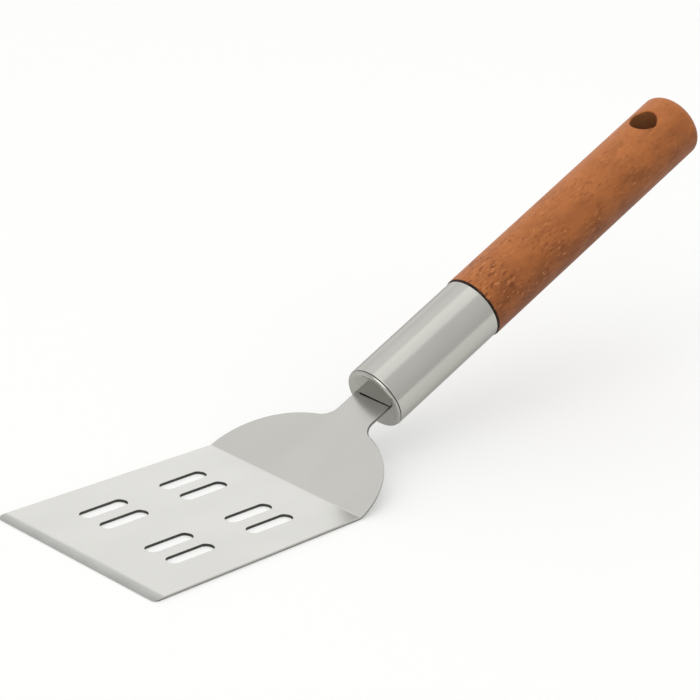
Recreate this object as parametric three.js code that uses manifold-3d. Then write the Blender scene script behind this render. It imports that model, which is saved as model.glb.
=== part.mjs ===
// Slotted kitchen turner: a folded stainless blade whose tang is bedded in a turned wooden handle,
// with a steel ferrule tube and a slit end cap between them. Millimetres, +Z up.
// Origin: middle of the flat blade's underside. +X runs towards the handle, +Y across the blade.
import * as THREE from "three";
import { mergeVertices } from "three/addons/utils/BufferGeometryUtils.js";
import Module from "manifold-3d";

const wasm = await Module();
wasm.setup();

// Blade: one sheet, flat from the front edge to the fold
const sheetThickness = 1.2;
const bladeLength = 99;
const frontWidth = 79;
const foldWidth = 75;
const frontCornerRadius = 2.2;
const groundDepth = 4;
const frontEdgeThickness = 0.35;

// Drain slots: two rows across the blade, each with a pair of slots on either side of the middle
const slotLength = 20.8;
const slotWidth = 5.4;
const slotRowPitch = 37.5;
const slotRowsBehindMiddle = 2;
const slotPairFromMiddle = 16.4;
const slotPairPitch = 10.4;

// Fold, shoulder and neck: the sheet rises from the fold and narrows to the neck
const foldAngle = THREE.MathUtils.degToRad(25);
const foldRadius = 3;
const foldStraight = 1.5;
const shoulderRadius = 35;
const shoulderCentreBeforeFold = 1.6;
const neckWidth = 17;
const neckFilletRadius = 6.5;
const neckLength = 10.7;

// Tang: the narrower end of the sheet, hidden in the handle
const tangWidth = 10;
const tangLength = 36;
const tangCornerRadius = 3;
const tangStepInside = 2;

// Ferrule tube and its end cap
const ferruleDiameter = 25;
const ferruleWall = 1;
const ferruleLength = 53.7;
const ferruleEdge = 0.35;
const capSetIn = 0.2;
const capPlate = 1.2;
const capRound = 1.1;
const capSkirtLength = 5;
const capSkirtWall = 0.8;
const slitEndClearance = 0.8;

// Wooden handle
const woodProud = 0.35;
const woodLength = 123;
const woodEndDome = 6.3;
const woodFrontEdge = 0.3;
const hangingHoleDiameter = 10.5;
const hangingHoleFromEnd = 18.8;
const mortiseDiameter = 14;
const mortiseBeyondTang = 4;

// Gap left between neighbouring pieces, filled by adhesive or closed by a press fit on the real object
const seatGap = 0.3;

// Extra reach of cutting shapes past the faces that they cut
const cutMargin = 2;

// Facets: pieces round a full turn, and pieces along one arc of an outline
const turnFacets = 64;
const holeFacets = 32;
const arcSteps = 8;
const foldSteps = 4;

// Places worked out from the sizes above
const middleX = bladeLength / 2;
const ferruleRadius = ferruleDiameter / 2;
const ferruleBore = ferruleRadius - ferruleWall;
const woodRadius = ferruleRadius + woodProud;
const tenonRadius = ferruleBore - seatGap;
const tenonFront = capSkirtLength + seatGap;
const woodFront = ferruleLength + seatGap;
const woodEnd = woodFront + woodLength;
const tangEnd = tangStepInside + tangLength;
const mortiseEnd = tangEnd + mortiseBeyondTang;

// The shoulder's arc runs from the straight stretch over the fold to the neck's hollow fillet.
const shoulderCentre = new THREE.Vector2(
  bladeLength - shoulderCentreBeforeFold,
  foldWidth / 2 - Math.sqrt(shoulderRadius ** 2 - (foldStraight + shoulderCentreBeforeFold) ** 2),
);
const filletCentreY = neckWidth / 2 + neckFilletRadius;
const centreDistance = shoulderRadius + neckFilletRadius;
const filletCentre = new THREE.Vector2(
  shoulderCentre.x + Math.sqrt(centreDistance ** 2 - (filletCentreY - shoulderCentre.y) ** 2),
  filletCentreY,
);
// Distance along the sheet from the front edge to the ferrule tube's front edge
const ferruleStart = filletCentre.x + neckLength;

// A closed geometry as a solid that can be cut and joined
function solidOf(geometry) {
  const bare = geometry.clone();
  bare.deleteAttribute("normal");
  bare.deleteAttribute("uv");
  const merged = mergeVertices(bare);
  return new wasm.Manifold(new wasm.Mesh({
    numProp: 3,
    vertProperties: merged.attributes.position.array,
    triVerts: new Uint32Array(merged.index.array),
  }));
}

// A cut or joined solid as a geometry again
function geometryOf(solid) {
  const { vertProperties, triVerts } = solid.getMesh();
  const geometry = new THREE.BufferGeometry();
  geometry.setAttribute("position", new THREE.BufferAttribute(vertProperties, 3));
  geometry.setIndex(new THREE.BufferAttribute(triVerts, 1));
  geometry.computeVertexNormals();
  return geometry;
}

// A box between two corners
function block(low, high) {
  const size = new THREE.Vector3().subVectors(high, low);
  const middle = new THREE.Vector3().addVectors(low, high).multiplyScalar(0.5);
  return new THREE.BoxGeometry(size.x, size.y, size.z).translate(middle.x, middle.y, middle.z);
}

// A closed profile of (distance along the handle, radius) points turned about the handle's axis, +X
function turned(profile) {
  const points = profile.map(([along, radius]) => new THREE.Vector2(radius, along));
  return new THREE.LatheGeometry(points, turnFacets).rotateZ(-Math.PI / 2);
}

// Points of an elliptic arc in a turned profile, as (along, radius) pairs
function profileArc(along, radius, reachAlong, reachRadius, fromAngle, toAngle) {
  const clockwise = toAngle < fromAngle;
  const arc = new THREE.EllipseCurve(along, radius, reachAlong, reachRadius, fromAngle, toAngle, clockwise);
  return arc.getPoints(arcSteps).map((point) => [point.x, point.y]);
}

function named(name, geometry, color, roughness, metalness) {
  const mesh = new THREE.Mesh(geometry, new THREE.MeshStandardMaterial({ color, roughness, metalness }));
  mesh.name = name;
  return mesh;
}

// One round-ended drain slot as a hole in the blank's outline
function slotOutline(x, y) {
  const radius = slotWidth / 2;
  const reach = slotLength / 2 - radius;
  const slot = new THREE.Path();
  slot.absarc(x + reach, y, radius, -Math.PI / 2, Math.PI / 2, false);
  slot.absarc(x - reach, y, radius, Math.PI / 2, 1.5 * Math.PI, false);
  slot.closePath();
  return slot;
}

// The flat blank before folding: (distance from the front edge, distance across)
function blankOutline() {
  const taper = Math.atan((frontWidth - foldWidth) / 2 / (bladeLength - foldStraight));
  const cornerY = frontWidth / 2 - frontCornerRadius * (Math.tan(taper) + 1 / Math.cos(taper));
  const toFillet = Math.atan2(filletCentre.y - shoulderCentre.y, filletCentre.x - shoulderCentre.x);
  const shoulderStart = Math.atan2(foldWidth / 2 - shoulderCentre.y, foldStraight + shoulderCentreBeforeFold);
  const half = new THREE.Path();
  half.absarc(frontCornerRadius, cornerY, frontCornerRadius, Math.PI, Math.PI / 2 - taper, true);
  half.lineTo(bladeLength - foldStraight, foldWidth / 2);
  half.absarc(shoulderCentre.x, shoulderCentre.y, shoulderRadius, shoulderStart, toFillet, true);
  half.absarc(filletCentre.x, filletCentre.y, neckFilletRadius, toFillet + Math.PI, 1.5 * Math.PI, false);
  half.lineTo(ferruleStart + tangStepInside, neckWidth / 2);
  half.lineTo(ferruleStart + tangStepInside, tangWidth / 2);
  half.absarc(
    ferruleStart + tangEnd - tangCornerRadius, tangWidth / 2 - tangCornerRadius,
    tangCornerRadius, Math.PI / 2, 0, true,
  );
  const upper = half.getPoints(arcSteps);
  const lower = upper.map((point) => new THREE.Vector2(point.x, -point.y)).reverse();
  const outline = new THREE.Shape([...upper, ...lower]);
  const rowsMiddle = middleX + slotRowsBehindMiddle;
  for (const row of [-1, 1]) {
    for (const side of [-1, 1]) {
      for (const place of [-1, 1]) {
        const across = side * slotPairFromMiddle + place * slotPairPitch / 2;
        outline.holes.push(slotOutline(rowsMiddle + row * slotRowPitch / 2, across));
      }
    }
  }
  return outline;
}

// The folded sheet seen from the side, ground to a thin front edge, as wide as the widest outline
function foldedSheet() {
  const tangent = foldRadius * Math.tan(foldAngle / 2);
  const reach = ferruleStart + tangEnd - bladeLength + cutMargin;
  const along = new THREE.Vector2(Math.cos(foldAngle), Math.sin(foldAngle));
  const down = new THREE.Vector2(along.y, -along.x);
  const fold = new THREE.Vector2(bladeLength, sheetThickness);
  const topEnd = fold.clone().addScaledVector(along, reach);
  const bottomEnd = topEnd.clone().addScaledVector(down, sheetThickness);
  // The ground face runs on past the front edge, halfway to where it would run out.
  const groundSlope = (sheetThickness - frontEdgeThickness) / groundDepth;
  const frontX = -frontEdgeThickness / groundSlope / 2;
  const centreX = bladeLength - tangent;
  const centreZ = sheetThickness + foldRadius;
  const side = new THREE.Shape();
  side.moveTo(frontX, 0);
  side.lineTo(centreX, 0);
  side.absarc(
    centreX, centreZ, foldRadius + sheetThickness, -Math.PI / 2, foldAngle - Math.PI / 2, false,
  );
  side.lineTo(bottomEnd.x, bottomEnd.y);
  side.lineTo(topEnd.x, topEnd.y);
  side.absarc(centreX, centreZ, foldRadius, foldAngle - Math.PI / 2, -Math.PI / 2, true);
  side.lineTo(groundDepth, sheetThickness);
  side.lineTo(frontX, frontEdgeThickness + frontX * groundSlope);
  side.closePath();
  const width = Math.max(frontWidth, foldWidth, neckWidth) + 2 * cutMargin;
  return new THREE.ExtrudeGeometry(side, { depth: width, bevelEnabled: false, curveSegments: foldSteps })
    .rotateX(Math.PI / 2)
    .translate(0, width / 2, 0);
}

// The blade is the folded sheet trimmed to the blank's outline, before and behind the fold.
function blade() {
  const depth = sheetThickness + 2 * cutMargin;
  const settings = { depth, bevelEnabled: false, curveSegments: arcSteps };
  const prism = new THREE.ExtrudeGeometry(blankOutline(), settings).translate(0, 0, -cutMargin);
  const wide = Math.max(frontWidth, foldWidth, neckWidth);
  const flatZone = block(
    new THREE.Vector3(-cutMargin, -wide, -depth),
    new THREE.Vector3(bladeLength + foldStraight, wide, depth),
  );
  const raisedZone = block(
    new THREE.Vector3(bladeLength - foldStraight, -wide, -depth),
    new THREE.Vector3(ferruleStart + tangEnd + cutMargin, wide, depth),
  );
  const flatTrim = solidOf(prism).intersect(solidOf(flatZone));
  const raisedTrim = geometryOf(solidOf(prism).intersect(solidOf(raisedZone)))
    .translate(-bladeLength, 0, -sheetThickness)
    .rotateY(-foldAngle)
    .translate(bladeLength, 0, sheetThickness);
  const trim = flatTrim.add(solidOf(raisedTrim));
  return named("blade", geometryOf(solidOf(foldedSheet()).intersect(trim)), 0xdcddd9, 0.3, 1);
}

// The pieces below share the handle's own frame: the axis is +X, with 0 at the tube's front edge.

function ferruleTube() {
  const tube = turned([
    [0, ferruleBore],
    [0, ferruleRadius - ferruleEdge],
    [ferruleEdge, ferruleRadius],
    [ferruleLength - ferruleEdge, ferruleRadius],
    [ferruleLength, ferruleRadius - ferruleEdge],
    [ferruleLength, ferruleBore],
    [0, ferruleBore],
  ]);
  return named("ferrule_tube", tube, 0xb9b8b1, 0.3, 1);
}

// A drawn cup: a round-edged plate in front of the tube, and a skirt pressed into it
function ferruleCap() {
  const capRadius = ferruleRadius - capSetIn;
  const front = -seatGap - capPlate;
  const skirtOuter = ferruleBore - seatGap;
  const skirtInner = skirtOuter - capSkirtWall;
  const cup = turned([
    [front, 0],
    ...profileArc(front + capRound, capRadius - capRound, capRound, capRound, Math.PI, Math.PI / 2),
    [-seatGap, capRadius],
    [-seatGap, skirtOuter],
    [capSkirtLength, skirtOuter],
    [capSkirtLength, skirtInner],
    [-seatGap, skirtInner],
    [-seatGap, 0],
  ]);
  const slitHalfWidth = neckWidth / 2 + slitEndClearance;
  const slitHalfHeight = sheetThickness / 2 + seatGap;
  const slit = block(
    new THREE.Vector3(front - cutMargin, -slitHalfWidth, -slitHalfHeight),
    new THREE.Vector3(capSkirtLength + cutMargin, slitHalfWidth, slitHalfHeight),
  );
  return named("ferrule_cap", geometryOf(solidOf(cup).subtract(solidOf(slit))), 0xb9b8b1, 0.15, 1);
}

// Turned handle: a tenon bored for the tang, a plain round grip, a domed end and a hole to hang it by
function woodHandle() {
  const grip = turned([
    [mortiseEnd, 0],
    [mortiseEnd, mortiseDiameter / 2],
    [tenonFront, mortiseDiameter / 2],
    [tenonFront, tenonRadius],
    [woodFront, tenonRadius],
    [woodFront, woodRadius - woodFrontEdge],
    [woodFront + woodFrontEdge, woodRadius],
    ...profileArc(woodEnd - woodEndDome, 0, woodEndDome, woodRadius, Math.PI / 2, 0),
  ]);
  const hole = new THREE.CylinderGeometry(
    hangingHoleDiameter / 2, hangingHoleDiameter / 2, 2 * (woodRadius + cutMargin), holeFacets,
  );
  hole.rotateX(Math.PI / 2).translate(woodEnd - hangingHoleFromEnd, 0, 0);
  return named("wood_handle", geometryOf(solidOf(grip).subtract(solidOf(hole))), 0xae6e42, 0.6, 0);
}

// Cured adhesive that fills the bore round the tang
function tangAdhesive() {
  const radius = mortiseDiameter / 2 - seatGap;
  const plug = turned([
    [tenonFront, 0],
    [tenonFront, radius],
    [mortiseEnd - seatGap, radius],
    [mortiseEnd - seatGap, 0],
  ]);
  const socket = block(
    new THREE.Vector3(tenonFront - cutMargin, -tangWidth / 2 - seatGap, -sheetThickness / 2 - seatGap),
    new THREE.Vector3(tangEnd + seatGap, tangWidth / 2 + seatGap, sheetThickness / 2 + seatGap),
  );
  return named("tang_adhesive", geometryOf(solidOf(plug).subtract(solidOf(socket))), 0xd8cfae, 0.5, 0);
}

// The handle's axis lies in the middle of the raised sheet, and turns up with it at the fold.
const handle = new THREE.Group();
handle.add(ferruleTube(), ferruleCap(), woodHandle(), tangAdhesive());
handle.position.set(ferruleStart - bladeLength, 0, -sheetThickness / 2);

const raised = new THREE.Group();
raised.add(handle);
raised.position.set(bladeLength, 0, sheetThickness);
raised.rotation.y = -foldAngle;

const spatula = new THREE.Group();
spatula.add(blade(), raised);
spatula.position.x = -middleX;

export default spatula;
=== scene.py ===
"""Slotted kitchen turner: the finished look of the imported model, with its studio and camera."""

from itertools import product
from math import atan2, cos, pi, radians, sin, sqrt, tan

import bmesh
import bpy
from bpy.props import FloatProperty, FloatVectorProperty, PointerProperty
from mathutils import Matrix, Vector


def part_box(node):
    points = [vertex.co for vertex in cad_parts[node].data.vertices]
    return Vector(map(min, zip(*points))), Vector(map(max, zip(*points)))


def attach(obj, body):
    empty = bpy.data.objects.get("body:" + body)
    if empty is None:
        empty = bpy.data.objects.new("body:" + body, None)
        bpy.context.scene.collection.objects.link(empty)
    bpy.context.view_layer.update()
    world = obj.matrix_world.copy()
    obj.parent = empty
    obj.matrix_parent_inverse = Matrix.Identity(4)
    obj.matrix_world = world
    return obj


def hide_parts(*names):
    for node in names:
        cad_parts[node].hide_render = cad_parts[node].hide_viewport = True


bl_info = {
    "name": "Slotted Turner",
    "version": (1, 0, 0),
    "blender": (4, 5, 0),
    "location": "3D View > Sidebar > Turner",
    "description": "Builds a slotted steel turner with a turned wooden handle, and a small studio round it",
    "category": "Add Mesh",
}

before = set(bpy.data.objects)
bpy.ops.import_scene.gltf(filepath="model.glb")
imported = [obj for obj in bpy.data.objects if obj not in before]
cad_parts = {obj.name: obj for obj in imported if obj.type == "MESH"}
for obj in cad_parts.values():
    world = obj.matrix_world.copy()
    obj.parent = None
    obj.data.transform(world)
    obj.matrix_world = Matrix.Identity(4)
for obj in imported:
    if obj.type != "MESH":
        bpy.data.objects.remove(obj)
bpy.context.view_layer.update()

MM = 0.001

# Left and right are as seen from the blade's front edge, looking along the tool

# Facets: pieces round a full turn, and pieces along one arc of an outline
TURN_FACETS = 128
HOLE_FACETS = 96
SLOT_FACETS = 48
SHOULDER_STEPS = 48
FILLET_STEPS = 14
CORNER_STEPS = 12
FOLD_STEPS = 8
DOME_STEPS = 18
RIM_STEPS = 10
EASE_STEPS = 4
GRIND_STEPS = 6

# Distance within which a point lies in a plane, or on a plane that cuts, and reach of cutters past a face
NEAR = 0.02 * MM
NEAR_CUT = 0.002 * MM
CUT_MARGIN = 2 * MM

# Edges sharper than SHARP are rounded, and those sharper than CREASE stay crisp when shaded smooth
SHARP = radians(50)
CREASE = radians(35)

# A face of the sheet whose normal rises less than this is a sheared wall
WALL_RISE = 0.7

# A face at the front edge whose normal leans ahead by more than this is ground
GROUND_LEAN = 0.1

# A face of the neck whose normal leans across the tool by more than this is on its side
NECK_SIDE = 0.3

WHITE = (1.0, 1.0, 1.0, 1.0)

# Cell size that leaves coordinates in metres
METRE = (1, 1, 1)

# Sockets of a Mix node for colours, told by number because they share their names with others
FIRST_COLOUR = 6
SECOND_COLOUR = 7
MIXED_COLOUR = 2

# Noise patterns lie mostly between these two values
NOISE_RANGE = (0.3, 0.7)

# Steel seen at a grazing angle stays as dull as this
EDGE_TINT = (0.6, 0.6, 0.6, 1.0)

# Blur and strength of the clear sheen on satin steel
SHEEN_ROUGHNESS = 0.2
SHEEN_IOR = 1.6

# Painted shade on the ground face: its tone at the front edge and at its back
FRONT_SHADE_TONES = (0.78, 1.15)

# Depth of polishing lines in steel and of grain in wood
LINE_DEPTH = 0.03 * MM
GRAIN_DEPTH = 0.08 * MM

# Marks in the wood, by their size along and across the grip
# Real fibres and flecks are finer than drawn here, where they are wide enough to show
STAIN_PATCH = (10 * MM, 5 * MM, 5 * MM)
FIBRE = (9 * MM, 0.6 * MM, 0.6 * MM)
FLECK = (2.4 * MM, 0.9 * MM, 0.9 * MM)
FLECK_CROWD = (14 * MM, 6 * MM, 6 * MM)

# Painted shade: direction in which the grip gets darker, mostly across it, and how much over one radius
SHADE_DIRECTION = (-0.05, -0.707, -0.707)
SHADE_DEPTH = 0.36

# Stain and painted shade at which the wood is lightest and darkest, and tones of its fibres
STAIN_AND_SHADE_RANGE = (-0.02, 0.78)
FIBRE_TONES = (1.04, 0.96)

# Levels of the fleck noise at which a dark pore or a light ray begins and is full
PORE_LEVELS = (0.54, 0.68)
RAY_LEVELS = (0.42, 0.28)

# Levels of the crowding noise at which flecks are sparse and crowded, and how strong sparse ones are
CROWD_LEVELS = (0.36, 0.58)
SPARSE = 0.1

# Distances behind the ferrule's front edge between which crowded flecks get weaker, and how weak
FADE_SPAN = (60 * MM, 170 * MM)
FADED = 0.25

# Oiled wood: roughness of its fibres, strength of its gloss and of its grain
WOOD_ROUGHNESS = (0.45, 0.6)
WOOD_GLOSS = 0.25
WOOD_RELIEF = 0.15

# Resin: size and tones of its clouds, and its roughness
RESIN_CLOUD = (5 * MM, 5 * MM, 5 * MM)
RESIN_TONES = (0.85, 1.1)
RESIN_ROUGHNESS = 0.25

# The surroundings go from dim to bright between these cosines of the angle to their bright side
SIDE_FADE = (-0.2, 0.6)


def linear(hex_colour):
    """An sRGB hex colour as linear red, green, blue and alpha, by the standard curve."""
    channels = [int(hex_colour[i:i + 2], 16) / 255 for i in (1, 3, 5)]
    return [c / 12.92 if c <= 0.04045 else ((c + 0.055) / 1.055) ** 2.4 for c in channels] + [1.0]


def length(name, description, millimetres):
    """A size that a user may change, written in millimetres and kept in metres."""
    return FloatProperty(
        name=name, description=description, default=millimetres * MM, min=0, precision=5, unit="LENGTH"
    )


def angle(name, description, degrees):
    """An angle that a user may change, written in degrees."""
    return FloatProperty(name=name, description=description, default=radians(degrees), subtype="ANGLE")


def level(name, description, default):
    """A brightness that a user may change, where 1 is white."""
    return FloatProperty(name=name, description=description, default=default, min=0)


def colour(name, description, hex_colour):
    """A colour that a user may change, written as sRGB hex."""
    return FloatVectorProperty(
        name=name, description=description, default=linear(hex_colour), size=4, min=0, max=1, subtype="COLOR"
    )


def box_width(node):
    """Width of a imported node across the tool, in millimetres."""
    low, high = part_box(node)
    return round((high[1] - low[1]) / MM, 3)


class TurnerBlade(bpy.types.PropertyGroup):
    """Sizes of the folded sheet: blade, slots, fold, shoulder, neck and tang"""

    sheet: length("Sheet thickness", "Thickness of the steel sheet", 1.2)
    blade_length: length("Blade length", "Front edge to fold", 99)
    front_width: length("Front width", "Width at the front edge", 79)
    fold_width: length("Fold width", "Width at the fold", 75)
    front_corner: length("Front corner radius", "Rounding of the two front corners", 2.2)
    ground_depth: length("Ground depth", "How far back the front edge is ground", 4.6)
    ground_crown: length("Ground crown", "How far the ground face bulges in its middle", 0.15)
    front_edge: length("Front edge thickness", "Thickness left at the ground front edge", 0.35)
    edge_ease: length("Edge rounding", "Rounding of the blank's edges", 0.42)
    slot_ease: length("Slot rounding", "Rounding of the slots' edges", 0.1)
    slot_length: length("Slot length", "Length of one drain slot", 20.8)
    slot_width: length("Slot width", "Width of one drain slot", 5.4)
    slot_row_pitch: length("Slot row pitch", "Distance between the two rows of slots", 37.5)
    slot_rows_behind: length("Slot rows behind middle", "How far the rows sit behind the blade's middle", 2)
    slot_pair_from_middle: length("Slot pair from middle", "Blade's middle to the middle of a pair", 16.4)
    slot_pair_pitch: length("Slot pair pitch", "Distance between the two slots of a pair", 10.4)
    fold_angle: angle("Fold angle", "Rise of the handle from the flat blade", 25)
    fold_radius: length("Fold radius", "Inside radius of the fold", 3)
    fold_straight: length("Fold straight", "Straight edge on each side of the fold", 1.5)
    shoulder_radius: length("Shoulder radius", "Radius of the round shoulder", 35)
    shoulder_before_fold: length("Shoulder centre", "How far the shoulder's centre lies before the fold", 1.6)
    neck_width: length("Neck width", "Width of the neck at the ferrule", 17)
    neck_fillet: length("Neck fillet", "Hollow radius between shoulder and neck", 6.5)
    neck_length: length("Neck length", "Straight neck in front of the ferrule tube", 10.7)
    tang_width: length("Tang width", "Width of the tang in the handle", 10)
    tang_length: length("Tang length", "Length of the tang in the handle", 36)
    tang_corner: length("Tang corner radius", "Rounding of the tang's end", 3)
    tang_step: length("Tang step", "Where the neck narrows to the tang, inside the ferrule", 2)
    tang_slope: length("Tang slope", "Length over which the neck narrows to the tang", 1)


class TurnerHandle(bpy.types.PropertyGroup):
    """Sizes of the ferrule, its cap and the wooden grip"""

    ferrule: length("Ferrule diameter", "Outside of the steel tube", box_width("ferrule_tube"))
    ferrule_wall: length("Ferrule wall", "Wall of the steel tube", 1)
    ferrule_length: length("Ferrule length", "Length of the steel tube", 53.7)
    ferrule_edge: length("Ferrule edge", "Rounding of the tube's ends", 0.3)
    cap_set_in: length("Cap set in", "How much smaller the cap's radius is than the tube's", 0.2)
    cap_plate: length("Cap plate", "Thickness of the cap's face", 1.2)
    cap_round: length("Cap rounding", "Depth of the cap's rounded front edge", 1.15)
    cap_rim: length("Cap rim", "How far the rounded edge reaches in over the cap's face", 1.9)
    cap_skirt: length("Cap skirt", "Length of the skirt inside the tube", 5)
    cap_skirt_wall: length("Cap skirt wall", "Wall of the skirt", 0.8)
    slit_clearance: length("Slit clearance", "Room round the neck in the cap's slit", 0.06)
    slit_gap: length("Slit gap", "Wider opening left above the neck", 0.6)
    slit_gap_left: length("Slit gap, left", "How far inside the neck's left edge the gap ends", 2.0)
    slit_gap_taper: length("Slit gap taper", "How much lower the wider opening is at its right end", 0.25)
    slit_ease: length("Slit rounding", "Rounding of the slit's edges", 0.12)
    wood: length("Wood diameter", "Outside of the wooden grip", box_width("wood_handle"))
    wood_length: length("Wood length", "Length of the grip behind the ferrule", 123)
    wood_dome: length("Wood dome", "Height of the domed end", 6.3)
    wood_front_edge: length("Wood front edge", "Rounding of the grip at the ferrule", 0.5)
    hole: length("Hanging hole diameter", "Bore of the hanging hole", 10.5)
    hole_from_end: length("Hanging hole from end", "Hole's middle to the end of the grip", 18.8)
    hole_ease: length("Hanging hole rounding", "Rounding of the hole's rim", 0.5)
    hole_margin: length("Hanging hole margin", "Plain rim kept round the hole in the mesh", 1.5)
    mortise: length("Mortise diameter", "Bore for the tang", 14)
    mortise_beyond: length("Mortise beyond tang", "Bore left behind the tang", 4)
    seat_gap: length("Seat gap", "Gap between neighbouring pieces", 0.3)


class TurnerFinish(bpy.types.PropertyGroup):
    """Colours of steel, wood and adhesive"""

    blade_steel: colour("Blade steel", "Satin stainless sheet", "#B8B7B2")
    ground_steel: colour("Ground steel", "Ground front edge of the blade", "#B2B2AF")
    # Sheared and pierced walls are duller than the sheet, and darker still as painted shade in slots, slit
    # and edges
    sheared_shaded_steel: colour("Sheared steel", "Raw edge round the blank", "#757571")
    pierced_shaded_steel: colour("Pierced steel", "Raw walls of slots and slit", "#4E4E4B")
    ferrule_steel: colour("Ferrule steel", "Drawn stainless tube", "#BCBBB5")
    cap_steel: colour("Cap steel", "Polished stainless cap", "#B1B0AA")
    # The grip goes from its light to its dark colour by stain patches and by painted shade on its low right
    wood_light: colour("Wood, light", "Grip where the stain took less", "#AF6834")
    wood_dark: colour("Wood, dark", "Grip where the stain took more", "#7C441E")
    # Painted shade: the hole's wall is darker than the grip, as shade inside the hole
    wood_bore_shade: colour("Wood bore", "Drilled wall of the hanging hole", "#8A5A36")
    wood_pore: colour("Wood pores", "Short dark flecks in the grip", "#713A18")
    wood_ray: colour("Wood rays", "Short light flecks in the grip", "#BD7A49")
    # End grain takes more stain, and is painted almost black as shade in the seam at the ferrule
    wood_end_and_seam_shade: colour("Wood end grain", "End grain at the ferrule, almost black with stain", "#24170E")
    adhesive: colour("Adhesive", "Cured resin round the tang", "#C9B277")


class TurnerStage(bpy.types.PropertyGroup):
    """Camera, light and floor of the studio"""

    azimuth: angle("Camera azimuth", "Turn of the camera round the object", -47.7452)
    elevation: angle("Camera elevation", "Height of the camera above the floor", 22.8876)
    roll: angle("Camera roll", "Turn of the camera about its own view", 4.6022)
    distance: length("Camera distance", "Camera to the point that it looks at", 1302.064)
    aim: FloatVectorProperty(
        name="Camera aim", description="Point in the middle of the picture", subtype="XYZ", unit="LENGTH",
        default=(137.6358 * MM, 53.8793 * MM, 10 * MM),
    )
    lens: FloatProperty(
        name="Lens", description="Focal length on a 36 mm sensor, in millimetres", default=176.766, min=1
    )
    floor: colour("Floor", "Pale paper under the object", "#CFCFCD")
    floor_glow: level("Floor glow", "What the floor adds to its own colour to look white", 0.29)
    floor_size: length("Floor size", "Side of the square floor", 8000)
    softbox_length: length("Softbox length", "Softbox overhead, along the tool", 900)
    softbox_width: length("Softbox width", "Softbox overhead, across the tool", 600)
    softbox_height: length("Softbox height", "Softbox above the floor", 900)
    softbox_level: level("Softbox level", "What the softbox adds to the surroundings", 0.34)
    bright_side: level("Bright side", "Brightness of the surroundings behind and left", 0.93)
    dim_side: level("Dim side", "Brightness of the surroundings in front and right", 0.68)
    lift: level("Lift", "What the surroundings gain from the floor up to overhead", 0.2)
    bright_azimuth: angle("Bright azimuth", "Direction of the bright side, from the tool's long axis", 55)
    backdrop_level: level("Backdrop level", "What the lit backdrop adds to the bright side", 0.36)
    backdrop_azimuth: angle("Backdrop azimuth", "Direction of the backdrop, from the tool's long axis", 45)
    backdrop_elevation: angle("Backdrop elevation", "Middle of the lit backdrop above the floor", 8)
    panel_level: level("Panel level", "What the panel in front adds to the surroundings", 1.5)
    panel_azimuth: angle("Panel azimuth", "Direction of the panel in front, from the tool's long axis", 198)
    panel_elevation: angle("Panel elevation", "Middle of the panel above the floor", 36)
    lit_core: angle("Lit core", "Half angle over which backdrop and panel are fully lit", 18)
    lit_edge: angle("Lit edge", "Half angle at which backdrop and panel have faded out", 31)


def deselect():
    """Leaves nothing selected, so that an operator acts on new geometry alone."""
    bpy.ops.object.select_all(action="DESELECT")


def make_active(piece):
    """Leaves only this piece selected and active."""
    deselect()
    piece.select_set(True)
    bpy.context.view_layer.objects.active = piece


def finish_place(piece):
    """Puts the piece's place into its mesh, so that its object sits at the origin."""
    bpy.ops.object.transform_apply(location=True, rotation=True, scale=True)
    return piece


def block(low, high):
    """A box between two corners, as the active object."""
    deselect()
    low, high = Vector(low), Vector(high)
    bpy.ops.mesh.primitive_cube_add(size=1, location=(low + high) / 2, scale=high - low)
    return finish_place(bpy.context.object)


def round_bar(radius, start, end, ends="NGON"):
    """A round bar along +X between two distances, as the active object."""
    deselect()
    bpy.ops.mesh.primitive_cylinder_add(
        vertices=TURN_FACETS, radius=radius, depth=end - start, end_fill_type=ends,
        location=((start + end) / 2, 0, 0), rotation=(0, pi / 2, 0),
    )
    return finish_place(bpy.context.object)


def edit():
    """Opens the active object's mesh for editing."""
    bpy.ops.object.mode_set(mode="EDIT")


def leave_edit():
    """Closes the active object's mesh."""
    bpy.ops.object.mode_set(mode="OBJECT")


def select(kind, test):
    """In edit mode, selects only those points, edges or faces that pass the test."""
    mesh = bpy.context.edit_object.data
    bpy.ops.mesh.select_mode(type=kind)
    bpy.ops.mesh.select_all(action="DESELECT")
    shape = bmesh.from_edit_mesh(mesh)
    for item in {"VERT": shape.verts, "EDGE": shape.edges, "FACE": shape.faces}[kind]:
        if test(item):
            item.select_set(True)
    bmesh.update_edit_mesh(mesh)


def all_points(test):
    """A test of an edge or face, passed where all its points pass a test of their own."""
    return lambda item: all(test(vertex.co) for vertex in item.verts)


def sharp(edge):
    """Whether the two faces at an edge meet at a sharp angle."""
    return edge.calc_face_angle(0) > SHARP


def extrude(step):
    """Extrudes what is selected by a step, and leaves the new end selected."""
    bpy.ops.mesh.extrude_region_move(TRANSFORM_OT_translate={"value": step})


def scale_selected(factors, centre=(0, 0, 0)):
    """Scales what is selected about a centre."""
    bpy.ops.transform.resize(value=factors, center_override=centre)


def round_end(radius, depth, inset, steps):
    """Grows the selected round end in rings along a quarter ellipse, a depth out and an inset inwards."""
    reached, ring = 0, radius
    for i in range(1, steps + 1):
        turn = pi / 2 * i / steps
        distance, width = depth * sin(turn), radius - inset * (1 - cos(turn))
        extrude((distance - reached, 0, 0))
        scale_selected((1, width / ring, width / ring))
        reached, ring = distance, width


def apply_modifier(piece, kind, **settings):
    """Adds a modifier with its settings and applies it."""
    make_active(piece)
    modifier = piece.modifiers.new(kind.title(), kind)
    for name, value in settings.items():
        setattr(modifier, name, value)
    bpy.ops.object.modifier_apply(modifier=modifier.name)


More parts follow.
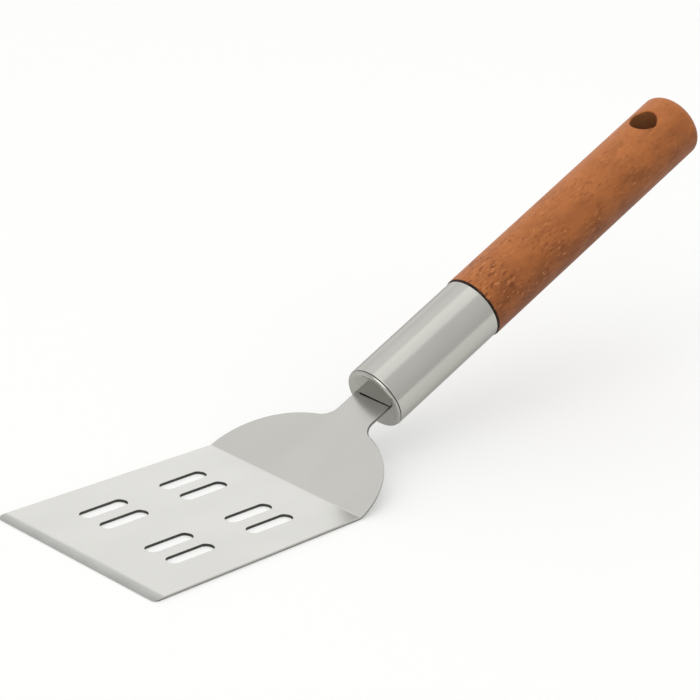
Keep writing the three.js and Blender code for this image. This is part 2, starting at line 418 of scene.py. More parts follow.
def cut(piece, cutter):
    """Cuts one shape out of a piece, whose new walls take the cutter's material, and deletes the cutter."""
    apply_modifier(
        piece, "BOOLEAN", operation="DIFFERENCE", solver="EXACT", material_mode="TRANSFER", object=cutter
    )
    bpy.data.objects.remove(cutter)


def ease(piece, radius, test=lambda point: True):
    """Rounds the sharp edges of a piece, or those of them whose points all pass the test."""
    within = all_points(test)
    make_active(piece)
    edit()
    select("EDGE", lambda edge: sharp(edge) and within(edge))
    bpy.ops.mesh.bevel(offset=radius, segments=EASE_STEPS, affect="EDGES", clamp_overlap=False, material=0)
    leave_edit()


def shade(piece):
    """Shades a piece smooth, with crisp creases and flat faces that stay flat."""
    make_active(piece)
    bpy.ops.object.shade_smooth_by_angle(angle=CREASE)
    apply_modifier(piece, "WEIGHTED_NORMAL", keep_sharp=True)


def coat(piece, material):
    """Gives a piece its one material."""
    piece.data.materials.clear()
    piece.data.materials.append(material)


def coat_where(piece, material, test):
    """Gives those faces of a piece that pass the test a material besides its first."""
    slots = piece.data.materials
    if material.name not in slots:
        slots.append(material)
    make_active(piece)
    edit()
    select("FACE", test)
    piece.active_material_index = slots.find(material.name)
    bpy.ops.object.material_slot_assign()
    leave_edit()


def tie(piece, name, node):
    """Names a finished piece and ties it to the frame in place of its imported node."""
    piece.name = piece.data.name = name
    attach(piece, "root")
    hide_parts(node)


def fold_point(sizes):
    """Where the two top faces of the sheet would meet at the fold."""
    return Vector((sizes.blade_length / 2, 0, sizes.sheet))


def up_the_handle(sizes):
    """Direction of the raised sheet and the handle."""
    return Vector((cos(sizes.fold_angle), 0, sin(sizes.fold_angle)))


def shoulder_centre(sizes):
    """Centre of the shoulder's arc: distance along the raised sheet from the fold, and across."""
    reach = sizes.fold_straight + sizes.shoulder_before_fold
    across = sizes.fold_width / 2 - sqrt(sizes.shoulder_radius ** 2 - reach ** 2)
    return Vector((-sizes.shoulder_before_fold, across))


def fillet_centre(sizes):
    """Centre of the hollow fillet between shoulder and neck, in the same two distances."""
    shoulder = shoulder_centre(sizes)
    across = sizes.neck_width / 2 + sizes.neck_fillet
    reach = sizes.shoulder_radius + sizes.neck_fillet
    return Vector((shoulder.x + sqrt(reach ** 2 - (across - shoulder.y) ** 2), across))


def ferrule_start(sizes):
    """Distance along the raised sheet from the fold to the ferrule tube's front edge."""
    return fillet_centre(sizes).x + sizes.neck_length


def handle_place(sizes):
    """Place of the handle: its origin in the tube's front edge, and its X axis up the handle."""
    return (
        Matrix.Translation(fold_point(sizes))
        @ Matrix.Rotation(-sizes.fold_angle, 4, "Y")
        @ Matrix.Translation((ferrule_start(sizes), 0, -sizes.sheet / 2))
    )


def raise_to_handle(piece):
    """Moves a piece made along +X to its place on the handle."""
    make_active(piece)
    piece.matrix_world = handle_place(bpy.context.scene.turner_blade)
    finish_place(piece)


def arc(centre, radius, first, last, steps):
    """Points on an arc round a centre, from one direction to another, without the first of them."""
    turns = [first + (last - first) * i / steps for i in range(1, steps + 1)]
    return [(centre.x + radius * cos(turn), centre.y + radius * sin(turn)) for turn in turns]


def raised_outline(sizes):
    """Half widths of the raised sheet from the fold to the tang's end, as (along, half width) pairs."""
    shoulder, fillet = shoulder_centre(sizes), fillet_centre(sizes)
    first = atan2(sizes.fold_width / 2 - shoulder.y, sizes.fold_straight - shoulder.x)
    last = atan2(fillet.y - shoulder.y, fillet.x - shoulder.x)
    step = ferrule_start(sizes) + sizes.tang_step
    return [
        (sizes.fold_straight, sizes.fold_width / 2),
        *arc(shoulder, sizes.shoulder_radius, first, last, SHOULDER_STEPS),
        *arc(fillet, sizes.neck_fillet, last + pi, pi + pi / 2, FILLET_STEPS),
        (step, sizes.neck_width / 2),
        (step + sizes.tang_slope, sizes.tang_width / 2),
        (step + sizes.tang_length, sizes.tang_width / 2),
    ]


def make_sheet(sizes):
    """The folded blank without slots: a flat block, bent up at the fold and grown to the tang's end."""
    front = -sizes.blade_length / 2
    fold = fold_point(sizes)
    taper_end = fold.x - sizes.fold_straight
    piece = block((front, -sizes.fold_width / 2, 0), (taper_end, sizes.fold_width / 2, sizes.sheet))
    edit()
    select("FACE", all_points(lambda point: point.x < front + NEAR))
    scale_selected((1, sizes.front_width / sizes.fold_width, 1))
    round_corners(sizes.front_corner, lambda point: point.x < front + NEAR)
    tangent = sizes.fold_radius * tan(sizes.fold_angle / 2)
    along = up_the_handle(sizes)
    select("FACE", all_points(lambda point: point.x > taper_end - NEAR))
    extrude((sizes.fold_straight - tangent, 0, 0))
    bpy.ops.mesh.spin(
        steps=FOLD_STEPS, angle=sizes.fold_angle, axis=(0, 1, 0),
        center=(fold.x - tangent, 0, sizes.sheet + sizes.fold_radius),
    )
    reached, half = tangent, sizes.fold_width / 2
    for distance, half_width in raised_outline(sizes):
        extrude(along * (distance - reached))
        scale_selected((1, half_width / half, 1))
        reached, half = distance, half_width
    end = fold + along * reached
    round_corners(sizes.tang_corner, lambda point: (point - end).dot(along) > -NEAR)
    leave_edit()
    return piece


def round_corners(radius, test):
    """Rounds the two upright corner edges of the sheet whose points pass the test."""
    at_end = all_points(test)
    select("EDGE", lambda edge: upright(edge) and at_end(edge))
    bpy.ops.mesh.bevel(offset=radius, segments=CORNER_STEPS, affect="EDGES")


def upright(edge):
    """Whether an edge runs through the sheet and not along or across it."""
    first, last = (vertex.co for vertex in edge.verts)
    return abs(first.y - last.y) < NEAR


def is_beside_neck(face, sizes):
    """Whether a face is on a side of the neck or of the hollow that leads to it."""
    reached = (face.calc_center_median() - fold_point(sizes)).dot(up_the_handle(sizes))
    return reached > fillet_centre(sizes).x - sizes.neck_fillet and abs(face.normal.y) > NECK_SIDE


def is_ground(face, sizes):
    """Whether a face belongs to the ground front edge."""
    behind = face.calc_center_median().x + sizes.blade_length / 2
    return face.normal.x < -GROUND_LEAN and face.normal.z > WALL_RISE and behind < sizes.ground_depth


def grind_front(piece, sizes):
    """Grinds the top of the front edge down to a thin edge in a slight crown."""
    front = -sizes.blade_length / 2
    ground = []
    for i in range(GRIND_STEPS + 1):
        share = i / GRIND_STEPS
        plane = sizes.sheet + (sizes.front_edge - sizes.sheet) * share
        bulge = sizes.ground_crown * (1 - (2 * share - 1) ** 2)
        ground.append(Vector((front + sizes.ground_depth * (1 - share), 0, plane + bulge)))
    make_active(piece)
    edit()
    for behind, ahead in zip(ground, ground[1:]):
        select("FACE", all_points(lambda point: point.x < fold_point(sizes).x))
        slope = behind - ahead
        bpy.ops.mesh.bisect(
            plane_co=behind, plane_no=Vector((-slope.z, 0, slope.x)).normalized(),
            use_fill=True, clear_outer=True, threshold=NEAR_CUT,
        )
    leave_edit()


def make_slot_cutter(sizes):
    """One round-ended slot as a cutter, copied to the eight places in the blade."""
    radius = sizes.slot_width / 2
    reach = sizes.slot_length / 2 - radius
    deselect()
    bpy.ops.mesh.primitive_cylinder_add(
        vertices=SLOT_FACETS, radius=radius, depth=sizes.sheet + 2 * CUT_MARGIN,
        location=(0, 0, sizes.sheet / 2), rotation=(0, 0, pi / SLOT_FACETS),
    )
    slot = finish_place(bpy.context.object)
    edit()
    for side in (-1, 1):
        select("VERT", lambda vertex: vertex.co.x * side > 0)
        bpy.ops.transform.translate(value=(side * reach, 0, 0))
    leave_edit()
    copies = []
    for row, side, place in product((-1, 1), repeat=3):
        copy = slot.copy()
        copy.data = slot.data.copy()
        bpy.context.scene.collection.objects.link(copy)
        copy.location = (
            sizes.slot_rows_behind + row * sizes.slot_row_pitch / 2,
            side * sizes.slot_pair_from_middle + place * sizes.slot_pair_pitch / 2,
            0,
        )
        copies.append(copy)
    bpy.data.objects.remove(slot)
    make_active(copies[0])
    for copy in copies:
        copy.select_set(True)
    bpy.ops.object.join()
    return finish_place(bpy.context.object)


def among_slots(point, sizes):
    """Whether a point lies in the part of the blade where the slots are."""
    return (
        abs(point.x - sizes.slot_rows_behind) < sizes.slot_row_pitch
        and abs(point.y) < sizes.slot_pair_from_middle + sizes.slot_pair_pitch
    )


def inside_tube(sizes):
    """Radius of the cap's skirt and of the grip's tenon, which fit into the ferrule tube."""
    return sizes.ferrule / 2 - sizes.ferrule_wall - sizes.seat_gap


def cap_front(sizes):
    """Distance along the handle of the cap's face, which is in front of the tube."""
    return -sizes.seat_gap - sizes.cap_plate


def make_cup(sizes):
    """The cap without its slit: a face with a rounded edge, and behind it a skirt."""
    back = -sizes.seat_gap
    radius = sizes.ferrule / 2 - sizes.cap_set_in
    rim = cap_front(sizes) + sizes.cap_round
    piece = round_bar(radius, rim, back)
    edit()
    select("FACE", all_points(lambda point: point.x < rim + NEAR))
    round_end(radius, -sizes.cap_round, sizes.cap_rim, RIM_STEPS)
    select("FACE", all_points(lambda point: point.x > back - NEAR))
    bpy.ops.mesh.inset(thickness=radius - inside_tube(sizes))
    extrude((sizes.cap_skirt - back, 0, 0))
    bpy.ops.mesh.inset(thickness=sizes.cap_skirt_wall)
    extrude((back - sizes.cap_skirt, 0, 0))
    leave_edit()
    return piece


def make_slit_cutters(sizes, sheet):
    """Two cutters for the cap's slit: one close round the neck, and a wider one above it that tapers."""
    start, end = cap_front(sizes) - CUT_MARGIN, sizes.cap_skirt + CUT_MARGIN
    edge, top = sheet.neck_width / 2, sheet.sheet / 2
    side, room = edge + sizes.slit_clearance, top + sizes.slit_clearance
    slit = block((start, -side, -room), (end, side, room))
    gap = block((start, -side, 0), (end, edge - sizes.slit_gap_left, top + sizes.slit_gap))
    edit()
    select("VERT", lambda vertex: vertex.co.y < 0 < vertex.co.z)
    bpy.ops.transform.translate(value=(0, 0, -sizes.slit_gap_taper))
    leave_edit()
    return slit, gap


def grip_front(sizes):
    """Distance along the handle of the grip's front face, behind the ferrule tube."""
    return sizes.ferrule_length + sizes.seat_gap


def hole_middle(sizes):
    """Distance along the handle of the hanging hole's middle."""
    return grip_front(sizes) + sizes.wood_length - sizes.hole_from_end


def turn_grip(sizes, sheet):
    """The grip without its hanging hole: a round bar with a domed end, a tenon and a bore for the tang."""
    radius, tenon = sizes.wood / 2, inside_tube(sizes)
    front = grip_front(sizes)
    dome_start = front + sizes.wood_length - sizes.wood_dome
    tenon_front = sizes.cap_skirt + sizes.seat_gap
    mortise_end = sheet.tang_step + sheet.tang_length + sizes.mortise_beyond
    piece = round_bar(radius, front, dome_start)
    edit()
    select("FACE", all_points(lambda point: point.x > dome_start - NEAR))
    round_end(radius, sizes.wood_dome, radius, DOME_STEPS)
    bpy.ops.mesh.merge(type="CENTER")
    # Rings on both sides of the hanging hole keep it apart from the long facets of the grip
    for side in (-1, 1):
        bpy.ops.mesh.select_all(action="SELECT")
        bpy.ops.mesh.bisect(
            plane_co=(hole_middle(sizes) + side * (sizes.hole / 2 + sizes.hole_margin), 0, 0),
            plane_no=(1, 0, 0), threshold=NEAR_CUT,
        )
    select("EDGE", all_points(lambda point: point.x < front + NEAR))
    bpy.ops.mesh.bevel(offset=sizes.wood_front_edge, segments=EASE_STEPS, affect="EDGES")
    select("FACE", all_points(lambda point: point.x < front + NEAR))
    bpy.ops.mesh.inset(thickness=radius - sizes.wood_front_edge - tenon)
    extrude((tenon_front - front, 0, 0))
    bpy.ops.mesh.inset(thickness=tenon - sizes.mortise / 2)
    extrude((mortise_end - tenon_front, 0, 0))
    leave_edit()
    return piece


def make_drill(sizes):
    """A cutter for the hanging hole, square to the grip."""
    deselect()
    bpy.ops.mesh.primitive_cylinder_add(
        vertices=HOLE_FACETS, radius=sizes.hole / 2, depth=sizes.wood + 2 * CUT_MARGIN,
        location=(hole_middle(sizes), 0, 0),
    )
    return finish_place(bpy.context.object)


def empty_tree(owner):
    """The node tree of a material or of the surroundings, with nothing in it yet."""
    owner.use_nodes = True
    owner.node_tree.nodes.clear()
    return owner.node_tree


def add_node(tree, kind, inputs, output=0, **settings):
    """Adds a shader node with its settings, sets or links its inputs, and gives one of its outputs."""
    node = tree.nodes.new(kind)
    for name, value in settings.items():
        setattr(node, name, value)
    for name, value in inputs.items():
        if isinstance(value, bpy.types.NodeSocket):
            tree.links.new(value, node.inputs[name])
        else:
            node.inputs[name].default_value = value
    return node.outputs[output] if node.outputs else None


def in_cells(tree, cell, origin=(0, 0, 0), rise=0):
    """Object coordinates from an origin, with X turned up by a rise, counted in cells of a size."""
    return add_node(tree, "ShaderNodeMapping", {
        "Vector": add_node(tree, "ShaderNodeTexCoord", {}, "Object"),
        "Location": origin, "Rotation": (0, -rise, 0), "Scale": cell,
    }, vector_type="TEXTURE")


def in_handle_cells(tree, cell):
    """The same with X up the handle, from the ferrule tube's front edge."""
    sheet = bpy.context.scene.turner_blade
    return in_cells(tree, cell, handle_place(sheet).translation, sheet.fold_angle)


def toned(tree, base, pattern, span, tones):
    """A colour that goes from one tone to another where a pattern goes over a span of its values."""
    tone = add_node(tree, "ShaderNodeMapRange", {
        "Value": pattern, "From Min": span[0], "From Max": span[1], "To Min": tones[0], "To Max": tones[1],
    })
    return add_node(tree, "ShaderNodeVectorMath", {0: base, "Scale": tone}, operation="SCALE")


def worked_steel(
    name, steel, place, cloud_cell, line_cell, tones, roughness, relief, tint=WHITE, polish=0.0, front_shade_span=None
):
    """Bare steel as its making leaves it: clouds change its tone, and lines change its gloss and height.

    A polish gives it a clear sheen, and painted shade changes its tone over a span along the tool.
    """
    material = bpy.data.materials.new(name)
    tree = empty_tree(material)
    cloud, line = (
        add_node(tree, "ShaderNodeTexNoise", {"Vector": place(tree, cell), "Scale": 1.0, "Detail": detail})
        for cell, detail in ((cloud_cell, 1.0), (line_cell, 2.0))
    )
    metal = toned(tree, steel[:3], cloud, NOISE_RANGE, tones)
    # Painted shade: the tone goes darker towards the front end of the span
    if front_shade_span:
        along = add_node(tree, "ShaderNodeSeparateXYZ", {0: in_cells(tree, METRE)}, "X")
        metal = toned(tree, metal, along, front_shade_span, FRONT_SHADE_TONES)
    gloss = add_node(tree, "ShaderNodeMapRange", {
        "Value": line, "From Min": NOISE_RANGE[0], "From Max": NOISE_RANGE[1],
        "To Min": roughness[0], "To Max": roughness[1],
    })
    bump = add_node(tree, "ShaderNodeBump", {"Height": line, "Strength": relief, "Distance": LINE_DEPTH})
    shader = add_node(tree, "ShaderNodeBsdfPrincipled", {
        "Base Color": metal, "Metallic": 1.0, "Roughness": gloss, "Specular Tint": tint, "Normal": bump,
        "Coat Weight": polish, "Coat Roughness": SHEEN_ROUGHNESS, "Coat IOR": SHEEN_IOR,
    })
    add_node(tree, "ShaderNodeOutputMaterial", {"Surface": shader})
    return material


def satin_stainless(finish):
    """Cold rolled stainless sheet with a satin polish: pale and softly clouded, under a clearer sheen."""
    # Polishing lines along the tool are much finer than drawn here, and only a trace of them is left
    return worked_steel(
        "Satin stainless sheet", finish.blade_steel, in_cells,
        cloud_cell=(35 * MM, 18 * MM, 35 * MM), line_cell=(60 * MM, 0.5 * MM, 60 * MM),
        tones=(0.97, 1.03), roughness=(0.26, 0.27), relief=0.001, polish=1.0,
    )


def ground_stainless(finish, sizes):
    """Stainless ground on a belt: marks square to the front edge, and painted shade darker the nearer to it.
    """
    front = -sizes.blade_length / 2
    # The marks are much finer than drawn here, where they are wide enough to show
    return worked_steel(
        "Ground stainless edge with painted shade", finish.ground_steel, in_cells,
        cloud_cell=(10 * MM, 9 * MM, 10 * MM), line_cell=(6 * MM, 0.5 * MM, 6 * MM),
        tones=(0.95, 1.05), roughness=(0.28, 0.38), relief=0.1, front_shade_span=(front, front + sizes.ground_depth),
    )


def sheared_shaded_stainless(name, steel):
    """Stainless as a punch leaves it: a wall torn through the sheet, with little gloss and darkened as
    painted shade.
    """
    return worked_steel(
        name, steel, in_cells,
        cloud_cell=(4 * MM, 4 * MM, 4 * MM), line_cell=(0.4 * MM, 0.4 * MM, 3 * MM),
        tones=(0.8, 1.2), roughness=(0.45, 0.55), relief=0.5,
    )


def polished_stainless(finish):
    """Deep drawn stainless, polished: a clear mirror of the neck in front of it, with a faint haze."""
    return worked_steel(
        "Polished stainless cap", finish.cap_steel, in_handle_cells,
        cloud_cell=(6 * MM, 6 * MM, 6 * MM), line_cell=(4 * MM, 4 * MM, 4 * MM),
        tones=(0.97, 1.03), roughness=(0.06, 0.1), relief=0.0, tint=EDGE_TINT,
    )


def drawn_stainless(finish):
    """Drawn and polished stainless tube: long soft bands of light with fine lines along them."""
    # Drawing lines along the tube are much finer than drawn here, where they are wide enough to show
    return worked_steel(
        "Drawn stainless tube", finish.ferrule_steel, in_handle_cells,
        cloud_cell=(30 * MM, 8 * MM, 8 * MM), line_cell=(40 * MM, 0.4 * MM, 0.4 * MM),
        tones=(0.98, 1.02), roughness=(0.16, 0.22), relief=0.05, tint=EDGE_TINT,
    )


def stained_beech(name, light, dark, finish, radius):
    """Beech, stained reddish brown and oiled: soft patches with short dark and light flecks, and painted
    shade.
    """
    material = bpy.data.materials.new(name)
    tree = empty_tree(material)
    patch, fibre, fleck, crowding = (
        add_node(tree, "ShaderNodeTexNoise", {
            "Vector": in_handle_cells(tree, cell), "Scale": 1.0, "Detail": detail,
        }) for cell, detail in ((STAIN_PATCH, 3.0), (FIBRE, 3.0), (FLECK, 2.0), (FLECK_CROWD, 1.0))
    )
    # The stain took more or less in patches, and painted shade darkens the low right and lightens the end
    shaded_side = add_node(tree, "ShaderNodeVectorMath", {
        0: in_handle_cells(tree, (radius, radius, radius)), 1: SHADE_DIRECTION,
    }, "Value", operation="DOT_PRODUCT")
    stain = add_node(tree, "ShaderNodeMath", {
        0: shaded_side, 1: SHADE_DEPTH, 2: patch,
    }, operation="MULTIPLY_ADD")
    depth = add_node(tree, "ShaderNodeMapRange", {
        "Value": stain, "From Min": STAIN_AND_SHADE_RANGE[0], "From Max": STAIN_AND_SHADE_RANGE[1],
    })
    stained = add_node(tree, "ShaderNodeMix", {
        "Factor": depth, FIRST_COLOUR: light, SECOND_COLOUR: dark,
    }, MIXED_COLOUR, data_type="RGBA")
    wood = toned(tree, stained, fibre, NOISE_RANGE, FIBRE_TONES)
    # Flecks crowd together in some places, less so towards the end of the grip
    along = add_node(tree, "ShaderNodeSeparateXYZ", {0: in_handle_cells(tree, METRE)}, "X")
    densest = add_node(tree, "ShaderNodeMapRange", {
        "Value": along, "From Min": FADE_SPAN[0], "From Max": FADE_SPAN[1], "To Min": 1.0, "To Max": FADED,
    })
    crowd = add_node(tree, "ShaderNodeMapRange", {
        "Value": crowding, "From Min": CROWD_LEVELS[0], "From Max": CROWD_LEVELS[1],
        "To Min": SPARSE, "To Max": densest,
    })
    # Open pores are dark flecks, and rays between them are light ones
    pore, ray = (
        add_node(tree, "ShaderNodeMapRange", {
            "Value": fleck, "From Min": levels[0], "From Max": levels[1], "To Max": crowd,
        }, interpolation_type="SMOOTHSTEP") for levels in (PORE_LEVELS, RAY_LEVELS)
    )
    for share, mark in ((ray, finish.wood_ray), (pore, finish.wood_pore)):
        wood = add_node(tree, "ShaderNodeMix", {
            "Factor": share, FIRST_COLOUR: wood, SECOND_COLOUR: mark,
        }, MIXED_COLOUR, data_type="RGBA")
    roughness = add_node(tree, "ShaderNodeMapRange", {
        "Value": fibre, "From Min": NOISE_RANGE[0], "From Max": NOISE_RANGE[1],
        "To Min": WOOD_ROUGHNESS[0], "To Max": WOOD_ROUGHNESS[1],
    })
    # Fibres stand up a little, and pores are hollow
    height = add_node(tree, "ShaderNodeMath", {0: fibre, 1: pore}, operation="SUBTRACT")
    bump = add_node(tree, "ShaderNodeBump", {
        "Height": height, "Strength": WOOD_RELIEF, "Distance": GRAIN_DEPTH,
    })
    shader = add_node(tree, "ShaderNodeBsdfPrincipled", {
        "Base Color": wood, "Roughness": roughness, "Specular IOR Level": WOOD_GLOSS, "Normal": bump,
    })
    add_node(tree, "ShaderNodeOutputMaterial", {"Surface": shader})
    return material


def cured_epoxy(finish):
    """Cured epoxy: glossy amber resin, slightly cloudy."""
    material = bpy.data.materials.new("Cured epoxy")
    tree = empty_tree(material)
    cloud = add_node(tree, "ShaderNodeTexNoise", {
        "Vector": in_handle_cells(tree, RESIN_CLOUD), "Scale": 1.0, "Detail": 2.0,
    })
    resin = toned(tree, finish.adhesive[:3], cloud, NOISE_RANGE, RESIN_TONES)
    shader = add_node(tree, "ShaderNodeBsdfPrincipled", {"Base Color": resin, "Roughness": RESIN_ROUGHNESS})
    add_node(tree, "ShaderNodeOutputMaterial", {"Surface": shader})
    return material


def lay_floor(stage):
    """A large sheet of pale paper that looks white and keeps the object's shadow."""
    deselect()
    bpy.ops.mesh.primitive_plane_add(size=stage.floor_size)
    floor = bpy.context.object
    floor.name = "studio_floor"
    material = bpy.data.materials.new("Pale studio paper")
    tree = empty_tree(material)
    seen = add_node(tree, "ShaderNodeLightPath", {}, "Is Camera Ray")
    for ray in ("Is Glossy Ray", "Is Transmission Ray"):
        mirrored = add_node(tree, "ShaderNodeLightPath", {}, ray)
        seen = add_node(tree, "ShaderNodeMath", {0: seen, 1: mirrored}, operation="MAXIMUM")
    strength = add_node(tree, "ShaderNodeMath", {0: seen, 1: stage.floor_glow}, operation="MULTIPLY")
    paper = add_node(tree, "ShaderNodeBsdfDiffuse", {"Color": stage.floor})
    glow = add_node(tree, "ShaderNodeEmission", {"Strength": strength})
    both = add_node(tree, "ShaderNodeAddShader", {0: paper, 1: glow})
    add_node(tree, "ShaderNodeOutputMaterial", {"Surface": both})
    coat(floor, material)


def hang_softbox(stage):
    """A softbox above the object, facing down."""
    light = bpy.data.lights.new("overhead_softbox", "AREA")
    light.shape = "RECTANGLE"
    light.size = stage.softbox_length
    light.size_y = stage.softbox_width
    light.energy = stage.softbox_level * pi * stage.softbox_length * stage.softbox_width
    lamp = bpy.data.objects.new("overhead_softbox", light)
    lamp.location = (0, 0, stage.softbox_height)
    bpy.context.scene.collection.objects.link(lamp)


def towards(azimuth, elevation):
    """The direction at an azimuth from the tool's long axis and an elevation above the floor."""
    return Vector((cos(azimuth) * cos(elevation), sin(azimuth) * cos(elevation), sin(elevation)))


def surround(scene, stage):
    """Soft surroundings, brighter behind and left, with a lit backdrop there and a lit panel in front."""
    world = bpy.data.worlds.new("studio_surroundings")
    tree = empty_tree(world)
    direction = add_node(tree, "ShaderNodeTexCoord", {}, "Generated")
    side = add_node(tree, "ShaderNodeVectorMath", {
        0: direction, 1: towards(stage.bright_azimuth, 0),
    }, "Value", operation="DOT_PRODUCT")
    even = add_node(tree, "ShaderNodeMapRange", {
        "Value": side, "From Min": SIDE_FADE[0], "From Max": SIDE_FADE[1],
        "To Min": stage.dim_side, "To Max": stage.bright_side,
    }, interpolation_type="SMOOTHSTEP")
    height = add_node(tree, "ShaderNodeSeparateXYZ", {0: direction}, "Z")
    strength = add_node(tree, "ShaderNodeMath", {
        0: height, 1: stage.lift, 2: even,
    }, operation="MULTIPLY_ADD")
    for azimuth, elevation, gain in (
        (stage.backdrop_azimuth, stage.backdrop_elevation, stage.backdrop_level),
        (stage.panel_azimuth, stage.panel_elevation, stage.panel_level),
    ):
        facing = add_node(tree, "ShaderNodeVectorMath", {
            0: direction, 1: towards(azimuth, elevation),
        }, "Value", operation="DOT_PRODUCT")
        lit = add_node(tree, "ShaderNodeMapRange", {
            "Value": facing, "From Min": cos(stage.lit_edge), "From Max": cos(stage.lit_core), "To Max": gain,
        }, interpolation_type="SMOOTHSTEP")
        strength = add_node(tree, "ShaderNodeMath", {0: strength, 1: lit}, operation="ADD")
    light = add_node(tree, "ShaderNodeBackground", {"Color": WHITE, "Strength": strength})
    add_node(tree, "ShaderNodeOutputWorld", {"Surface": light})
    scene.world = world


def set_camera(scene, stage):
    """The camera stands in front of the blade and to its right, and looks down at the tool."""
    data = bpy.data.cameras.new("photo_camera")
    data.lens = stage.lens
    camera = bpy.data.objects.new("photo_camera", data)
    camera.matrix_world = (
        Matrix.Translation(stage.aim)
        @ Matrix.Rotation(stage.azimuth, 4, "Z")
        @ Matrix.Rotation(pi / 2 - stage.elevation, 4, "X")
        @ Matrix.Rotation(stage.roll, 4, "Z")
        @ Matrix.Translation((0, 0, stage.distance))
    )
    scene.collection.objects.link(camera)
    scene.camera = camera


class TURNER_OT_blade(bpy.types.Operator):
    """Folded steel sheet with ground edge, drain slots, round shoulder, neck and tang"""

    bl_idname = "turner.blade"
    bl_label = "Blade"

    def execute(self, context):
        sizes, finish = context.scene.turner_blade, context.scene.turner_finish
        sheared = sheared_shaded_stainless("Sheared stainless edge with painted shade", finish.sheared_shaded_steel)
        piece = make_sheet(sizes)
        coat(piece, satin_stainless(finish))
        coat_where(piece, sheared, lambda face: abs(face.normal.z) < WALL_RISE)
        ease(piece, sizes.edge_ease)
        # The neck's sides get the darker sheared steel as painted shade along them
        coat_where(piece, sheared, lambda face: is_beside_neck(face, sizes))
        grind_front(piece, sizes)
        coat_where(piece, ground_stainless(finish, sizes), lambda face: is_ground(face, sizes))
        slots = make_slot_cutter(sizes)
        coat(slots, sheared_shaded_stainless("Pierced stainless wall with painted shade", finish.pierced_shaded_steel))
        cut(piece, slots)
        ease(piece, sizes.slot_ease, lambda point: among_slots(point, sizes))
        shade(piece)
        tie(piece, "blade_sheet", "blade")
        return {"FINISHED"}


class TURNER_OT_ferrule_tube(bpy.types.Operator):
    """Steel tube between blade and wood, with rounded ends"""

    bl_idname = "turner.ferrule_tube"
    bl_label = "Ferrule tube"

    def execute(self, context):
        sizes = context.scene.turner_handle
        piece = round_bar(sizes.ferrule / 2, 0, sizes.ferrule_length, "NOTHING")
        apply_modifier(piece, "SOLIDIFY", thickness=sizes.ferrule_wall, offset=-1, use_even_offset=True)
        coat(piece, drawn_stainless(context.scene.turner_finish))
        ease(piece, sizes.ferrule_edge)
        shade(piece)
        raise_to_handle(piece)
        tie(piece, "ferrule_shell", "ferrule_tube")
        return {"FINISHED"}


class TURNER_OT_ferrule_cap(bpy.types.Operator):
    """Drawn steel cup that closes the tube, with a slit for the neck"""

    bl_idname = "turner.ferrule_cap"
    bl_label = "Ferrule cap"

    def execute(self, context):
        sizes, sheet = context.scene.turner_handle, context.scene.turner_blade
        finish = context.scene.turner_finish
        piece = make_cup(sizes)
        coat(piece, polished_stainless(finish))
        pierced = sheared_shaded_stainless("Pierced stainless slit with painted shade", finish.pierced_shaded_steel)
        for cutter in make_slit_cutters(sizes, sheet):
            coat(cutter, pierced)
            cut(piece, cutter)
        ease(piece, sizes.slit_ease)
        shade(piece)
        raise_to_handle(piece)
        tie(piece, "ferrule_end_cap", "ferrule_cap")
        return {"FINISHED"}


class TURNER_OT_wood(bpy.types.Operator):
    """Turned wooden grip with tenon, domed end and hanging hole"""

    bl_idname = "turner.wood"
    bl_label = "Wooden grip"

    def execute(self, context):
        sizes, sheet = context.scene.turner_handle, context.scene.turner_blade
        finish = context.scene.turner_finish
        radius = sizes.wood / 2
        end = grip_front(sizes) + sizes.wood_front_edge
        piece = turn_grip(sizes, sheet)
        coat(piece, stained_beech("Stained beech", finish.wood_light, finish.wood_dark, finish, radius))
        # The end grain at the ferrule is painted almost black, partly as shade in the seam
        end_grain = stained_beech("Stained beech end grain with seam shade", finish.wood_end_and_seam_shade, finish.wood_end_and_seam_shade, finish, radius)
        coat_where(piece, end_grain, all_points(lambda point: point.x < end + NEAR))
        drill = make_drill(sizes)
        # The hole's wall is coloured darker as painted shade inside the hole
        coat(drill, stained_beech("Stained beech bore with painted shade", finish.wood_bore_shade, finish.wood_dark, finish, radius))
        cut(piece, drill)
        ease(piece, sizes.hole_ease)
        shade(piece)
        raise_to_handle(piece)
        tie(piece, "wooden_grip", "wood_handle")
        return {"FINISHED"}


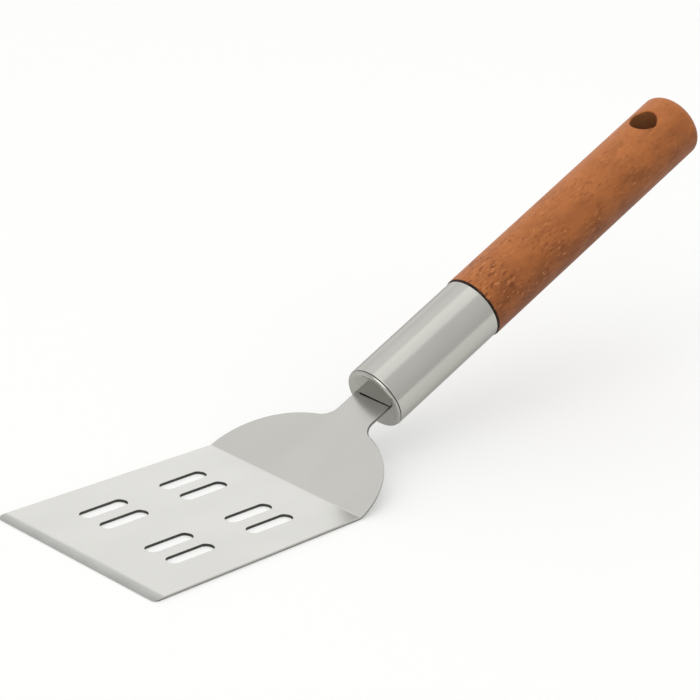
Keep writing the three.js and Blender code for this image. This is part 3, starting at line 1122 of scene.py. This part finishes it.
class TURNER_OT_adhesive(bpy.types.Operator):
    """Finish of the cured resin round the tang"""

    bl_idname = "turner.adhesive"
    bl_label = "Adhesive"

    def execute(self, context):
        coat(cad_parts["tang_adhesive"], cured_epoxy(context.scene.turner_finish))
        return {"FINISHED"}


class TURNER_OT_stage(bpy.types.Operator):
    """Pale floor, soft overhead light, surroundings and camera"""

    bl_idname = "turner.stage"
    bl_label = "Stage"

    def execute(self, context):
        stage = context.scene.turner_stage
        lay_floor(stage)
        hang_softbox(stage)
        surround(context.scene, stage)
        set_camera(context.scene, stage)
        context.scene.view_settings.view_transform = "Standard"
        return {"FINISHED"}


class TURNER_PT_panel(bpy.types.Panel):
    """Lists the pieces of the turner"""

    bl_idname = "TURNER_PT_panel"
    bl_label = "Slotted Turner"
    bl_space_type = "VIEW_3D"
    bl_region_type = "UI"
    bl_category = "Turner"

    def draw(self, context):
        for operator in OPERATORS:
            self.layout.operator(operator.bl_idname)
        for group in SETTINGS:
            box = self.layout.box()
            box.label(text=group.replace("turner_", "").title())
            settings = getattr(context.scene, group)
            for name in settings.__annotations__:
                box.prop(settings, name)


SETTINGS = {
    "turner_blade": TurnerBlade,
    "turner_handle": TurnerHandle,
    "turner_finish": TurnerFinish,
    "turner_stage": TurnerStage,
}
OPERATORS = (
    TURNER_OT_blade,
    TURNER_OT_ferrule_tube,
    TURNER_OT_ferrule_cap,
    TURNER_OT_wood,
    TURNER_OT_adhesive,
    TURNER_OT_stage,
)
CLASSES = (*SETTINGS.values(), *OPERATORS, TURNER_PT_panel)


def register():
    for cls in CLASSES:
        bpy.utils.register_class(cls)
    for name, group in SETTINGS.items():
        setattr(bpy.types.Scene, name, PointerProperty(type=group))


def unregister():
    for name in SETTINGS:
        delattr(bpy.types.Scene, name)
    for cls in reversed(CLASSES):
        bpy.utils.unregister_class(cls)


def main():
    """Builds all pieces and the stage."""
    register()
    bpy.ops.turner.blade()
    bpy.ops.turner.ferrule_tube()
    bpy.ops.turner.ferrule_cap()
    bpy.ops.turner.wood()
    bpy.ops.turner.adhesive()
    bpy.ops.turner.stage()


if __name__ == "__main__":
    main()
